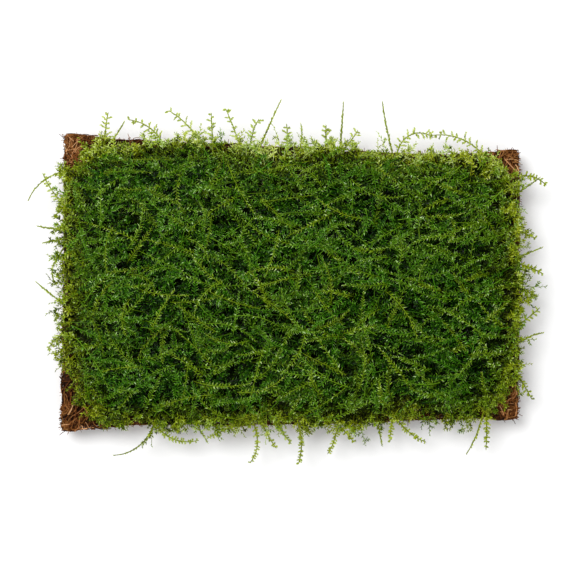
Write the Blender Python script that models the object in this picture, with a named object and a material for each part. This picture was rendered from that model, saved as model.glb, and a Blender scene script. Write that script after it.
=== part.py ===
"""A moss mat: creeping moss grown over a felted coir pad, with stray shoots past its edges.

Run it in Blender 4.5: blender --background --python part.py

Metres, +Z up. The origin is the middle of the pad's flat underside, +X runs along the pad's
length and +Y across it. Pieces:
    coir_pad         the felt of coconut fibre, cut out by hand, so its sides aren't quite straight
    moss_carpet      the envelope of the matted moss, which leaves three of the pad's corners bare
    shoot_SIDE_NN    the longer shoots that leave the carpet on each side, out to their leaf tips
"""

import math

import bmesh
import bpy
from mathutils import Vector, noise

MM = 0.001

# The pad
PAD_THICKNESS = 7.0
PAD_EDGE_ROUND = 0.8
PAD_STEP = 4.5  # distance between the points of its cut edge
PAD_WAVER = 0.28  # how far the cut wanders from a clean line
PAD_WAVER_SIZE = 3.2

# The carpet
SEAT_GAP = 0.3  # between the pad and what sits on it, and between the carpet and its shoots
CARPET_HEIGHT = 10.0
CARPET_EDGE_HEIGHT = 3.6
CARPET_SECTORS = 112
CARPET_RINGS = (0.22, 0.42, 0.6, 0.75, 0.87, 0.95, 1.0)
CARPET_DOME = 7.0  # a high power keeps the top flat until close to the edge
CARPET_WILDNESS = 9.0  # a high power keeps the edge's wandering out of the middle
CARPET_CALM = 5  # sectors on either side that the inner rings are averaged over
LUMP_HEIGHT = 0.9
LUMP_SIZE = 14.0
CARPET_INSET = 2.2  # from the line that the moss reaches to, in to the carpet's edge
CARPET_STEP = 2.6
TUFT_REACH = 2.0  # how far the edge's tufts stand out, and its bays cut in
TUFT_SIZE = 7.0

# The shoots
SHOOT_RINGS = 7  # the last of them is the pointed tip
SHOOT_SIDES = 6
SHOOT_BASE_HEIGHT = 2.4  # above the pad's top
LEAFY_RADIUS = 0.95  # out to the leaf tips
WIRY_RADIUS = 0.45

# The pad's outline, in millimetres, anticlockwise from the lower left corner.
PAD_OUTLINE = (
    (-64.4, -41.2), (-48.0, -39.8), (4.0, -39.3), (42.0, -37.8),
    (63.6, -37.6), (64.5, 3.0), (64.4, 24.0),
    (63.8, 37.6), (53.0, 36.5), (34.0, 36.5), (-4.0, 38.7), (-39.0, 40.1),
    (-63.4, 42.0), (-64.0, 0.0),
)

# The even line that the moss reaches out to, in the same way. It stands proud of the pad's long
# sides and is cut back at the upper left and both right corners, and along the lower left. The
# carpet's edge comes and goes inside it, and the shoots' lengths are counted from it.
MOSS_LINE = (
    (-59.5, -37.5), (-54.5, -39.2), (-26.0, -40.6), (-8.0, -41.0), (28.0, -40.0), (52.0, -38.4),
    (56.3, -37.4), (57.2, -33.8), (60.0, -31.0), (64.6, -27.0),
    (65.6, 4.0), (64.4, 24.0), (65.2, 30.0),
    (63.4, 33.6), (55.0, 36.0), (34.0, 37.2), (8.0, 40.4), (-20.0, 41.2), (-45.0, 40.2),
    (-55.0, 40.8), (-59.5, 36.5), (-64.2, 31.0),
    (-65.0, 18.0), (-65.2, -14.0), (-63.0, -22.0), (-61.4, -30.0),
)

# Each shoot: where it crosses that line (X on the upper and lower sides, Y on the others), its
# length from there, the way it heads (0 is +X, 90 is +Y), how far it turns on the way (positive
# to its left), how far its tip stands above its base, and whether it is leafy or wiry.
SHOOTS = {
    "upper": (
        (-52.0, 6.4, 84, -8, 2.0, "leafy"),
        (-49.2, 4.8, 50, 12, 1.0, "wiry"),
        (-37.2, 9.6, 128, 46, 0.5, "leafy"),
        (-26.8, 9.6, 126, 24, 2.5, "leafy"),
        (-22.0, 5.6, 92, 0, 3.0, "leafy"),
        (-15.4, 7.5, 110, 4, 1.5, "leafy"),
        (-10.8, 4.4, 78, -26, 2.5, "leafy"),
        (-7.2, 10.4, 66, -3, 4.0, "wiry"),
        (-1.0, 3.0, 92, 4, 1.0, "leafy"),
        (3.0, 3.4, 84, 20, 0.0, "wiry"),
        (9.8, 3.2, 93, -6, 1.5, "leafy"),
        (14.0, 9.8, 86, 2, 4.5, "wiry"),
        (16.8, 3.2, 52, 6, 0.5, "leafy"),
        (27.8, 11.8, 104, -4, 4.0, "wiry"),
        (30.4, 11.0, 68, -108, 2.5, "leafy"),
        (53.0, 15.0, 134, 54, -1.5, "leafy"),
    ),
    "right": (
        (30.2, 5.8, -6, -44, 2.6, "leafy"),
        (27.0, 5.0, 33, 4, -0.5, "wiry"),
        (14.0, 2.8, -26, 8, -1.0, "leafy"),
        (8.6, 4.2, 24, -4, 1.5, "wiry"),
        (4.8, 4.6, -20, -10, 0.0, "leafy"),
        (-4.2, 2.6, 30, 0, 0.0, "leafy"),
        (-9.6, 4.4, 38, 6, 1.0, "leafy"),
        (-15.2, 5.0, 30, -22, 0.5, "wiry"),
        (-27.6, 5.4, -56, -6, -1.0, "leafy"),
    ),
    "lower": (
        (54.8, 7.8, -88, -4, -1.5, "leafy"),
        (53.0, 9.4, -105, -18, -0.5, "wiry"),
        (32.2, 6.8, -46, 26, -1.0, "leafy"),
        (28.0, 3.2, -96, 4, -1.0, "leafy"),
        (24.8, 4.4, -80, 0, 0.0, "wiry"),
        (15.2, 3.8, -52, 4, -1.0, "leafy"),
        (12.8, 6.8, -100, -22, -1.5, "leafy"),
        (2.6, 9.0, -78, -30, -1.0, "leafy"),
        (-2.2, 3.8, -54, 2, -1.5, "leafy"),
        (-6.6, 4.6, -62, 8, 0.5, "leafy"),
        (-9.6, 8.8, -76, -52, -1.5, "leafy"),
        (-20.2, 3.6, -155, 0, 1.0, "leafy"),
        (-25.0, 3.4, -58, -8, -1.5, "wiry"),
        (-36.4, 11.2, -46, 60, -2.0, "leafy"),
        (-39.0, 13.8, -115, -62, -2.5, "wiry"),
    ),
    "left": (
        (31.0, 11.8, -163, 50, -0.5, "wiry"),
        (24.4, 7.2, 128, -18, 2.8, "leafy"),
        (15.4, 5.0, 174, -6, 0.5, "wiry"),
        (12.2, 3.8, -172, 6, -1.0, "wiry"),
        (6.2, 6.6, -122, 62, -1.5, "wiry"),
        (-3.8, 6.8, 141, -2, 0.5, "wiry"),
        (-15.4, 4.0, -138, 20, -1.0, "leafy"),
    ),
}

OUTWARD = {"upper": (0, 1), "right": (1, 0), "lower": (0, -1), "left": (-1, 0)}

COLOURS = {
    "coir": ((0.17, 0.070, 0.026), 0.9),
    "moss": ((0.055, 0.125, 0.012), 0.6),
    "young_moss": ((0.20, 0.29, 0.035), 0.55),
}


def clear_scene():
    for obj in list(bpy.data.objects):
        bpy.data.objects.remove(obj, do_unlink=True)


def material(name):
    """A Principled material with the colour and roughness listed for this name."""
    colour, roughness = COLOURS[name]
    made = bpy.data.materials.new(name)
    made.use_nodes = True
    shader = made.node_tree.nodes["Principled BSDF"]
    shader.inputs["Base Color"].default_value = (*colour, 1)
    shader.inputs["Roughness"].default_value = roughness
    shader.inputs["Metallic"].default_value = 0.0
    return made


def add_object(name, mesh_builder, surface, parent):
    """An object made by mesh_builder, which draws in millimetres into the bmesh that it is given."""
    shape = bmesh.new()
    mesh_builder(shape)
    bmesh.ops.scale(shape, vec=(MM, MM, MM), verts=shape.verts)
    bmesh.ops.recalc_face_normals(shape, faces=shape.faces)
    mesh = bpy.data.meshes.new(name)
    shape.to_mesh(mesh)
    shape.free()
    mesh.materials.append(surface)
    obj = bpy.data.objects.new(name, mesh)
    bpy.context.scene.collection.objects.link(obj)
    obj.parent = parent
    return obj


def crossing(a, b, side, station):
    """Where the edge a-b crosses the given station, as a coordinate outwards, or None."""
    along = 0 if OUTWARD[side][1] else 1
    low, high = sorted((a[along], b[along]))
    if not low <= station <= high or low == high:
        return None
    share = (station - a[along]) / (b[along] - a[along])
    across = 1 - along
    return a[across] + share * (b[across] - a[across])


def edge_point(outline, side, station):
    """The point of the outline on that side, at that X or Y."""
    across = 1 if OUTWARD[side][1] else 0
    outwards = OUTWARD[side][across]
    rotated = outline[1:] + outline[:1]
    found = [crossing(a, b, side, station) for a, b in zip(outline, rotated)]
    furthest = max((value * outwards for value in found if value is not None)) * outwards
    return Vector((station, furthest)) if across else Vector((furthest, station))


def direction(degrees):
    angle = math.radians(degrees)
    return Vector((math.cos(angle), math.sin(angle)))


def meetings(outline, point, way):
    """How far ahead of the point a line along this way meets each side of the outline it cuts."""
    found = []
    for a, b in zip(outline, outline[1:] + outline[:1]):
        start, span = Vector(a) - point, Vector(b) - Vector(a)
        turn = way.x * span.y - way.y * span.x
        if abs(turn) < 1e-9:
            continue
        share = (start.x * way.y - start.y * way.x) / turn
        if 0 <= share < 1:
            found.append((start.x * span.y - start.y * span.x) / turn)
    return found


def outline_radius(outline, way):
    """How far the outline is from the origin in that direction."""
    return next(ahead for ahead in meetings(outline, Vector((0, 0)), way) if ahead > 0)


def wandering(outline, step, inset, waver, size, seed):
    """The outline with a point every few millimetres, each moved in, and a little off the line."""
    points = []
    for a, b in zip(outline, outline[1:] + outline[:1]):
        start, span = Vector(a), Vector(b) - Vector(a)
        steps = max(1, round(span.length / step))
        normal = Vector((span.y, -span.x)).normalized()
        for k in range(steps):
            point = start + span * k / steps
            off = waver * 2 * noise.noise(Vector((point.x / size, point.y / size, seed)))
            points.append(point + normal * (off - inset))
    return points


def pad_edge():
    """The cut edge of the pad."""
    return wandering(PAD_OUTLINE, PAD_STEP, 0.0, PAD_WAVER, PAD_WAVER_SIZE, 2.7)


def carpet_edge():
    """The carpet's edge, in tufts and bays, as moss that is left to itself grows."""
    return wandering(MOSS_LINE, CARPET_STEP, CARPET_INSET, TUFT_REACH, TUFT_SIZE, 8.3)


def build_pad(shape):
    """The outline raised to the pad's thickness, with its upper and lower rims rounded."""
    corners = [shape.verts.new((p.x, p.y, 0.0)) for p in pad_edge()]
    base = shape.faces.new(corners)
    raised = bmesh.ops.extrude_face_region(shape, geom=[base])["geom"]
    top = [v for v in raised if isinstance(v, bmesh.types.BMVert)]
    bmesh.ops.translate(shape, vec=(0, 0, PAD_THICKNESS), verts=top)
    rims = [e for e in shape.edges if abs(e.verts[0].co.z - e.verts[1].co.z) < 1e-6]
    bmesh.ops.bevel(
        shape, geom=rims, offset=PAD_EDGE_ROUND, segments=2, profile=0.5, affect="EDGES"
    )


def carpet_height(point, share):
    """The height of the carpet's top above its seat, at this share of the way to its edge."""
    dome = CARPET_EDGE_HEIGHT + (CARPET_HEIGHT - CARPET_EDGE_HEIGHT) * (1 - share**CARPET_DOME)
    lump = noise.noise(Vector((point.x / LUMP_SIZE, point.y / LUMP_SIZE, 5.1)))
    return dome + lump * 2 * LUMP_HEIGHT * (1 - share**4)


def moving_average(values, reach):
    """Each value of a closed ring averaged with that many on either side."""
    around = range(-reach, reach + 1)
    count = len(values)
    return [sum(values[(k + j) % count] for j in around) / len(around) for k in range(count)]


def build_carpet(shape):
    """A lumpy dome of rings about its middle, with a low wall at its edge and a flat underside."""
    seat = PAD_THICKNESS + SEAT_GAP
    angles = [2 * math.pi * k / CARPET_SECTORS for k in range(CARPET_SECTORS)]
    ways = [Vector((math.cos(a), math.sin(a))) for a in angles]
    outline = carpet_edge()
    edge = [outline_radius(outline, way) for way in ways]
    calm = moving_average(edge, CARPET_CALM)
    middle = shape.verts.new((0, 0, seat + carpet_height(Vector((0, 0)), 0.0)))
    rings = []
    for share in CARPET_RINGS:
        wild = share**CARPET_WILDNESS
        radii = [share * (c + (e - c) * wild) for c, e in zip(calm, edge)]
        points = [way * radius for way, radius in zip(ways, radii)]
        rings.append(
            [shape.verts.new((p.x, p.y, seat + carpet_height(p, share))) for p in points]
        )
    foot = [shape.verts.new((v.co.x, v.co.y, seat)) for v in rings[-1]]
    rings.append(foot)
    for k in range(CARPET_SECTORS):
        after = (k + 1) % CARPET_SECTORS
        shape.faces.new((middle, rings[0][k], rings[0][after]))
        for inner, outer in zip(rings, rings[1:]):
            shape.faces.new((inner[k], outer[k], outer[after], inner[after]))
    shape.faces.new(foot[::-1])


def shoot_path(side, station, length, heading, turn, rise):
    """The shoot's centreline: straight from its root to the moss line, then a level arc.

    It lifts or droops all the way. Where the carpet's edge is past the line, the root is too,
    and the shoot is that much shorter.
    """
    clear = Vector(OUTWARD[side]) * (SEAT_GAP + LEAFY_RADIUS * 0.6)
    line_point = edge_point(MOSS_LINE, side, station)
    root = -min(meetings(carpet_edge(), line_point, direction(heading)), key=abs)
    place = line_point - direction(heading) * root + clear
    base_z = PAD_THICKNESS + SHOOT_BASE_HEIGHT
    step = (length + root) / (SHOOT_RINGS - 1)
    points = []
    for k in range(SHOOT_RINGS):
        share = k / (SHOOT_RINGS - 1)
        points.append(Vector((place.x, place.y, base_z + rise * share**1.5)))
        arc = max(0.0, (k + 0.5) * step - root) / length
        place = place + direction(heading + turn * arc) * step
    return points


def shoot_thickness(share, habit):
    """The radius out to the leaf tips: slim where it leaves the carpet and again near its point."""
    full = LEAFY_RADIUS if habit == "leafy" else WIRY_RADIUS
    swell = 0.55 + 0.45 * math.sin(math.pi * min(1.0, share * 1.6) * 0.5)
    taper = 1 - 0.72 * share**2.2
    return full * swell * taper


def build_shoot(side, station, length, heading, turn, rise, habit):
    """A mesh builder for one shoot: a tube along its path, flatter than wide, to a pointed tip."""
    flatness = 0.7

    def build(shape):
        path = shoot_path(side, station, length, heading, turn, rise)
        rings = []
        for k, centre in enumerate(path[:-1]):
            before, after = path[max(k - 1, 0)], path[k + 1]
            along = (after - before).normalized()
            across = along.cross(Vector((0, 0, 1))).normalized()
            up = across.cross(along)
            radius = shoot_thickness(k / (len(path) - 1), habit)
            angles = [2 * math.pi * s / SHOOT_SIDES for s in range(SHOOT_SIDES)]
            rings.append([
                shape.verts.new(
                    centre + radius * (across * math.cos(a) + up * math.sin(a) * flatness)
                )
                for a in angles
            ])
        for ring, following in zip(rings, rings[1:]):
            for s in range(SHOOT_SIDES):
                after = (s + 1) % SHOOT_SIDES
                shape.faces.new((ring[s], ring[after], following[after], following[s]))
        shape.faces.new(rings[0][::-1])
        tip = shape.verts.new(path[-1])
        for s in range(SHOOT_SIDES):
            shape.faces.new((rings[-1][s], rings[-1][(s + 1) % SHOOT_SIDES], tip))

    return build


def main():
    clear_scene()
    mat = bpy.data.objects.new("moss_mat", None)
    bpy.context.scene.collection.objects.link(mat)
    coir, moss, young = (material(name) for name in COLOURS)

    add_object("coir_pad", build_pad, coir, mat)
    carpet = add_object("moss_carpet", build_carpet, moss, mat)
    carpet.data.shade_smooth()
    for side, shoots in SHOOTS.items():
        for number, shoot in enumerate(shoots, start=1):
            obj = add_object(f"shoot_{side}_{number:02d}", build_shoot(side, *shoot), young, mat)
            obj.data.shade_smooth()


main()
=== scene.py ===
"""The looks of the moss mat: leafy moss and loose coir fibres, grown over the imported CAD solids.

The geometry is worked out in millimetres in arrays, many strands at a time, and is scaled to
metres as it becomes a mesh. A strand is anything long and thin: a moss stem, a branchlet of one
or a coir fibre.

Every strand and leaf is laid on a map named OFBake by its tone (0 dark to 1 pale) and its warmth
(0 cool to 1 warm), and the materials read their colours from that map. Small steps in both from
corner to corner give the faces some width on it.

Each builder's random draws have fixed seeds of their own, so every run grows the same mat.
"""

from typing import NamedTuple

import bpy
import numpy as np
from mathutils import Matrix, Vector
from mathutils.bvhtree import BVHTree


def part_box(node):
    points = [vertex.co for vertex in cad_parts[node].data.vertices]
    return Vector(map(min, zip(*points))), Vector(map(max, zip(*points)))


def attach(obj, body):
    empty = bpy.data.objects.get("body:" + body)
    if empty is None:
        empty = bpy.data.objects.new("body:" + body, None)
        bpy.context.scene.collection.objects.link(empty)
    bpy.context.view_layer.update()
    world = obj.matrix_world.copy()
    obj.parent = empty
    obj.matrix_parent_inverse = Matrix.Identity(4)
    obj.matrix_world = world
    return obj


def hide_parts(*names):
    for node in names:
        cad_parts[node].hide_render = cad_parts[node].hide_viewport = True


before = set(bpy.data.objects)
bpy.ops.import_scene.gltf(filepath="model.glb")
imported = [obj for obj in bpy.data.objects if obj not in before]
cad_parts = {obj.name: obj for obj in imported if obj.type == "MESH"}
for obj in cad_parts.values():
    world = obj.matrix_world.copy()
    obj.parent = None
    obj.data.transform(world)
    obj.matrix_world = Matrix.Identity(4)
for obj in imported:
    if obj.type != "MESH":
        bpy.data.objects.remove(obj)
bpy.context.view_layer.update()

MM = 0.001
UP = np.array((0.0, 0.0, 1.0))
PALETTE = "OFBake"

# Leaves, in millimetres
LEAF_LENGTH = 1.3
LEAF_WIDTH = 0.42
# base, left edge, midrib, right edge, tip: lengths ahead, widths across, lengths up
LEAF_SHAPE = np.array((
    (0.0, 0.0, 0.0),
    (0.36, -0.5, 0.09),
    (0.42, 0.0, 0.0),
    (0.36, 0.5, 0.09),
    (1.0, 0.0, -0.08),
))
LEAF_FACES = np.array(((0, 2, 1), (0, 3, 2), (1, 2, 4), (2, 3, 4)))
# The leaves deep in the carpet do without the midrib's own point
PLAIN_LEAF = [0, 1, 3, 4]
PLAIN_LEAF_FACES = np.array(((0, 3, 1), (0, 2, 3)))
# Each leaf's tone at its five points: the base painted dark, as painted shade where the leaves
# crowd the stem; the right half lighter than the left, as painted light on the fold; a darker
# midrib and a paler tip
LEAF_TONES = np.array((-0.70, -0.09, -0.17, 0.07, 0.36))
LEAF_WARMTHS = np.array((0.0, -0.012, 0.0, 0.012, 0.02))
LEAF_TONE_SPREAD = 0.16
TOP_LEAF_SHARE = 0.15  # of the leaves, which stand on the stem rather than beside it
GLINT_SHARE = 0.15  # of the leaves, whose tips carry a painted glint, nearly white
GLINT_TONE = 0.5  # the painted glint added to such a tip's tone
SHADE_FROM = 0.3  # millimetres below the canopy's top at which the painted shade begins to darken the leaves
DEEPEST = 2.2  # millimetres, after which the painted shade grows no darker

# The carpet and the pad, in millimetres
HALF_LENGTH = 62.0  # both are rough, and tell how far out on the mat a place is
HALF_WIDTH = 40.0
EDGE_REACH = 8.0  # from the carpet's edge inwards, which is lighter and warmer
PAD_FULL_WIDTH = 0.8  # the height at which the pad's lower rounding ends
SAME_LEVEL = 0.1  # a point no further than this from a height is on it

# How many of each strand
FRONDS = 150
CROWN_SHOOTS = 1150
UPRIGHT_SHOOTS = 420
MIDDLE_SHOOTS = 1700
LOWER_SHOOTS = 1200
RUNNERS = 260
FRINGE_SHOOTS = 780
EDGE_FIBRES = 2200
CORNER_FIBRES = 1400
UNDERSIDE_FIBRES = 700
STRAY_FIBRES = 1100


class Strands(NamedTuple):
    """n strands of k points: where they are, the way ahead and the way up, each (n, k, 3)."""

    points: np.ndarray
    ahead: np.ndarray
    up: np.ndarray


class Habit(NamedTuple):
    """How a leafy stem grows, whatever its size and colour."""

    splay: float = 46.0  # degrees from the stem to its lowest leaves
    plump: float = 1.0  # the leaves' width against LEAF_WIDTH
    contrast: float = 1.0  # how much of LEAF_TONES each leaf shows
    shade: float = 0.27  # painted shade: how much the tone falls for each millimetre below the canopy's top
    stem: float = 0.13  # the stem's radius in millimetres
    stem_tone: float = 0.03  # the stem's tone against its leaves'
    plain: bool = False  # leaves without a midrib


CANOPY = Habit()
UNDERGROWTH = Habit(plain=True)
TWIGS = Habit(stem=0.09)
FRINGE = Habit(plump=1.3, contrast=0.9, shade=0.22, stem=0.12)
BUDS = Habit(splay=20.0, plump=2.0, contrast=0.25, shade=0.04, stem=0.20)
SCALES = Habit(splay=24.0, plump=1.8, contrast=0.25, shade=0.04, stem=0.25, stem_tone=-0.24)


class Cluster:
    """Vertices, faces and their places on the palette, gathered into one mesh.

    The triangles are nearly all leaves and stay flat. The quadrilaterals, which are stems, fibres
    and skins, are smooth.
    """

    def __init__(self):
        self.points = []
        self.palette = []
        self.faces = {3: [], 4: []}
        self.count = 0

    def add(self, points, faces, tone, warmth):
        points = points.reshape(-1, 3)
        self.points.append(points)
        self.palette.append(np.stack([tone.reshape(-1), warmth.reshape(-1)], axis=1))
        self.faces[faces.shape[-1]].append(faces.reshape(-1, faces.shape[-1]) + self.count)
        self.count += len(points)

    def build(self, name, surface, node):
        """The mesh as a piece that rides on the mat and stands for this CAD node."""
        points = np.concatenate(self.points) * MM
        palette = np.clip(np.concatenate(self.palette), 0.01, 0.99)
        corners = []
        sizes = []
        for size, groups in self.faces.items():
            if groups:
                faces = np.concatenate(groups)
                corners.append(faces.reshape(-1))
                sizes.append(np.full(len(faces), size))
        corners = np.concatenate(corners)
        sizes = np.concatenate(sizes)
        mesh = bpy.data.meshes.new(name)
        mesh.vertices.add(len(points))
        mesh.vertices.foreach_set("co", points.reshape(-1).astype(np.float32))
        mesh.loops.add(len(corners))
        mesh.loops.foreach_set("vertex_index", corners.astype(np.int32))
        mesh.polygons.add(len(sizes))
        mesh.polygons.foreach_set("loop_start", (np.cumsum(sizes) - sizes).astype(np.int32))
        mesh.update(calc_edges=True)
        layer = mesh.uv_layers.new(name=PALETTE)
        layer.data.foreach_set("uv", palette[corners].reshape(-1).astype(np.float32))
        mesh.polygons.foreach_set("use_smooth", sizes == 4)
        mesh.materials.append(surface)
        piece = bpy.data.objects.new(name, mesh)
        bpy.context.scene.collection.objects.link(piece)
        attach(piece, "root")
        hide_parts(node)


def unit(vectors):
    return vectors / np.maximum(np.linalg.norm(vectors, axis=-1, keepdims=True), 1e-9)


def upward(count):
    return np.tile(UP, (count, 1))


def level_heading(angle):
    return np.stack([np.cos(angle), np.sin(angle), np.zeros_like(angle)], axis=-1)


def between(grid, i, j, s, t):
    """The value at the shares s and t of the way on from row i and column j of a grid."""
    rows, columns = grid.shape
    i, j, next_i, next_j = i % rows, j % columns, (i + 1) % rows, (j + 1) % columns
    near = grid[i, j] * (1 - s) + grid[next_i, j] * s
    far = grid[i, next_j] * (1 - s) + grid[next_i, next_j] * s
    return near * (1 - t) + far * t


def noise(x, y, size, seed):
    """Smooth noise from -1 to 1 whose bumps are about size across, repeated every 64 sizes."""
    lattice = np.random.default_rng(seed).uniform(-1, 1, (64, 64))
    u, v = x / size, y / size
    i, j = np.floor(u).astype(int), np.floor(v).astype(int)
    s, t = u - i, v - j
    return between(lattice, i, j, s * s * (3 - 2 * s), t * t * (3 - 2 * t))


# ---- the CAD solids as a guide


def node_points(node):
    return np.array([v.co[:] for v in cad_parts[node].data.vertices]) / MM


def outline_at(node, height):
    """The node's points at this height, in order round the origin, as (m, 2)."""
    points = node_points(node)
    ring = points[np.abs(points[:, 2] - height) < SAME_LEVEL][:, :2]
    ring = np.unique(ring.round(2), axis=0)
    return ring[np.argsort(np.arctan2(ring[:, 1], ring[:, 0]))]


PAD_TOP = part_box("coir_pad")[1].z / MM
CARPET_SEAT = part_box("moss_carpet")[0].z / MM
PAD_EDGE = outline_at("coir_pad", PAD_FULL_WIDTH)
CARPET_EDGE = outline_at("moss_carpet", CARPET_SEAT)


def reach(outline, x, y):
    """How far the outline is from the origin in the direction of each point."""
    around = np.arctan2(outline[:, 1], outline[:, 0])
    return np.interp(np.arctan2(y, x), around, np.hypot(*outline.T), period=2 * np.pi)


def keep_within(points, outline, slack):
    """Draws in the points (n, k, 3) that lie further than slack outside the outline."""
    x, y = points[..., 0], points[..., 1]
    limit = reach(outline, x, y) + slack
    points[..., :2] *= np.minimum(1, limit / np.hypot(x, y))[..., None]


def walk(outline, share):
    """The place and the outward normal at each share of the way round the outline."""
    closed = np.vstack([outline, outline[:1]])
    hops = np.hypot(*np.diff(closed, axis=0).T)
    distance = np.concatenate([[0], np.cumsum(hops)])
    at = (share % 1) * distance[-1]
    place = np.stack([np.interp(at, distance, closed[:, axis]) for axis in (0, 1)], axis=-1)
    leg = np.clip(np.searchsorted(distance, at, side="right") - 1, 0, len(hops) - 1)
    along = (closed[leg + 1] - closed[leg]) / hops[leg][..., None]
    return place, np.stack([along[..., 1], -along[..., 0]], axis=-1)


def survey_carpet():
    """The carpet's height at every millimetre of its box, from rays down onto the CAD solid."""
    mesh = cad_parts["moss_carpet"].data
    tree = BVHTree.FromPolygons(
        [v.co.copy() for v in mesh.vertices], [tuple(p.vertices) for p in mesh.polygons]
    )
    low = np.floor(CARPET_EDGE.min(axis=0)).astype(int) - 1
    high = np.ceil(CARPET_EDGE.max(axis=0)).astype(int) + 2
    heights = np.full(high - low, CARPET_SEAT)
    for i, j in np.ndindex(heights.shape):
        over = Vector(((low[0] + i) * MM, (low[1] + j) * MM, 0.1))
        hit = tree.ray_cast(over, Vector((0, 0, -1)))[0]
        if hit:
            heights[i, j] = hit.z / MM
    return low, heights


SURVEY_CORNER, CARPET_HEIGHTS = survey_carpet()


def carpet_top(x, y):
    """The height of the carpet's envelope over each point, which is its seat outside it."""
    sizes = np.array(CARPET_HEIGHTS.shape)
    u = np.clip(x - SURVEY_CORNER[0], 0, sizes[0] - 1.001)
    v = np.clip(y - SURVEY_CORNER[1], 0, sizes[1] - 1.001)
    i, j = u.astype(int), v.astype(int)
    return between(CARPET_HEIGHTS, i, j, u - i, v - j)


# ---- strands and leaves


def draw_strands(start, heading, normal, length, bend, pitch_from, pitch_to, steps):
    """Strands that leave start along heading, turn by bend about normal, and change pitch."""
    share = (np.arange(steps) + 0.5) / steps
    side = np.cross(normal, heading)
    turn = (bend[:, None] * share)[..., None]
    pitch = (pitch_from[:, None] * (1 - share) + pitch_to[:, None] * share)[..., None]
    level = heading[:, None] * np.cos(turn) + side[:, None] * np.sin(turn)
    ahead = level * np.cos(pitch) + normal[:, None] * np.sin(pitch)
    hops = ahead * (length / steps)[:, None, None]
    travelled = np.concatenate([np.zeros_like(hops[:, :1]), np.cumsum(hops, axis=1)], axis=1)
    return with_directions(start[:, None] + travelled, normal)


def with_directions(points, normal):
    """Strands through these points, whose way up stays as near to normal as it can."""
    hops = unit(np.diff(points, axis=1))
    ahead = unit(np.concatenate([hops[:, :1], hops[:, :-1] + hops[:, 1:], hops[:, -1:]], axis=1))
    normal = np.broadcast_to(normal[:, None], ahead.shape)
    across = unit(np.cross(ahead, normal))
    return Strands(points, ahead, np.cross(across, ahead))


def on_strands(strands, share):
    """The place, the way ahead and the way up at each share (n, m) of the way along."""
    steps = strands.points.shape[1] - 1
    spot = np.clip(share * steps, 0, steps - 1e-6)
    low = spot.astype(int)
    part = (spot - low)[..., None]
    rows = np.arange(len(share))[:, None]
    return [field[rows, low] * (1 - part) + field[rows, low + 1] * part for field in strands]


TUBE_TONE_RISE = 0.03  # from a tube's start to its end
SIDE_TONE = 0.004  # these two keep the sides of a tube apart on the palette
SIDE_WARMTH = 0.006


def add_tubes(cluster, strands, radius_from, radius_to, tone, warmth, sides=3):
    """A tapered tube round each strand."""
    count, rings, _ = strands.points.shape
    angle = (2 * np.pi * np.arange(sides) / sides)[:, None]
    across = np.cross(strands.ahead, strands.up)[:, :, None]
    spoke = across * np.cos(angle) + strands.up[:, :, None] * np.sin(angle)
    share = np.arange(rings) / (rings - 1)
    radius = radius_from[:, None] * (1 - share) + radius_to[:, None] * share
    points = strands.points[:, :, None] + spoke * radius[..., None, None]
    first = (np.arange(count)[:, None] * rings + np.arange(rings - 1)) * sides
    side = np.arange(sides)
    after = (side + 1) % sides
    faces = np.stack([
        first[..., None] + side,
        first[..., None] + after,
        first[..., None] + sides + after,
        first[..., None] + sides + side,
    ], axis=-1)
    shape = points.shape[:3]
    rise = TUBE_TONE_RISE * share[None, :, None]
    tones = tone[:, None, None] + rise + SIDE_TONE * side[None, None]
    warmths = warmth[:, None, None] + SIDE_WARMTH * (side % 2)[None, None]
    cluster.add(points, faces, np.broadcast_to(tones, shape), np.broadcast_to(warmths, shape))


LEAF_CLOSING = 0.48  # how much of their splay the leaves have lost at the stem's tip
LEAF_TAPER = 0.45  # and how much of their size
TIP_PALER = 0.14  # how much paler the leaves at the tip are than those at the root
STEM_TAPER = 0.6
STEM_WARMER = 0.08


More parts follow.
